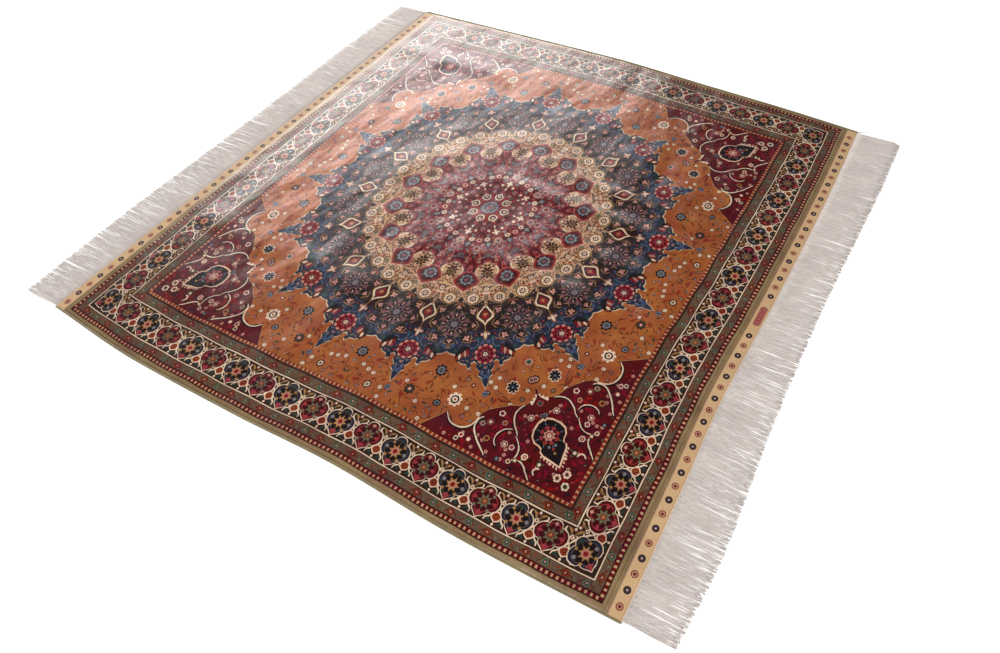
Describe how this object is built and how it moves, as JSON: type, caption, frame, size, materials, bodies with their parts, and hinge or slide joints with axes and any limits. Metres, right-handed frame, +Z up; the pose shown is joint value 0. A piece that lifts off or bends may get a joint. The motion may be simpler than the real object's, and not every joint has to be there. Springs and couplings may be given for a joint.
{
  "type": "turkish rug",
  "caption": "Square hand-knotted silk rug lying flat, with a round medallion pattern, flat-woven end bands, overcast side cords and a fringe at two sides.",
  "frame": {"origin": "middle of the rug's box, at the floor that it lies on", "axes": "+X from one fringe to the other, +Y from the near side cord to the far one, +Z up out of the pile"},
  "size_m": [1.8119, 1.5378, 0.0079],
  "materials": {
    "silk_pile": "sheared silk pile with a soft directional sheen",
    "band_weave": "flat-woven silk, satin",
    "side_cord": "overcast silk thread, satin",
    "warp_fringe": "fine undyed silk threads, soft sheen"
  },
  "bodies": {
    "root": {"pile_body": "silk_pile", "kilim_left": "band_weave", "kilim_right": "band_weave", "selvedge_near": "side_cord", "selvedge_far": "side_cord", "fringe_left": "warp_fringe", "fringe_right": "warp_fringe"}
  },
  "joints": []
}
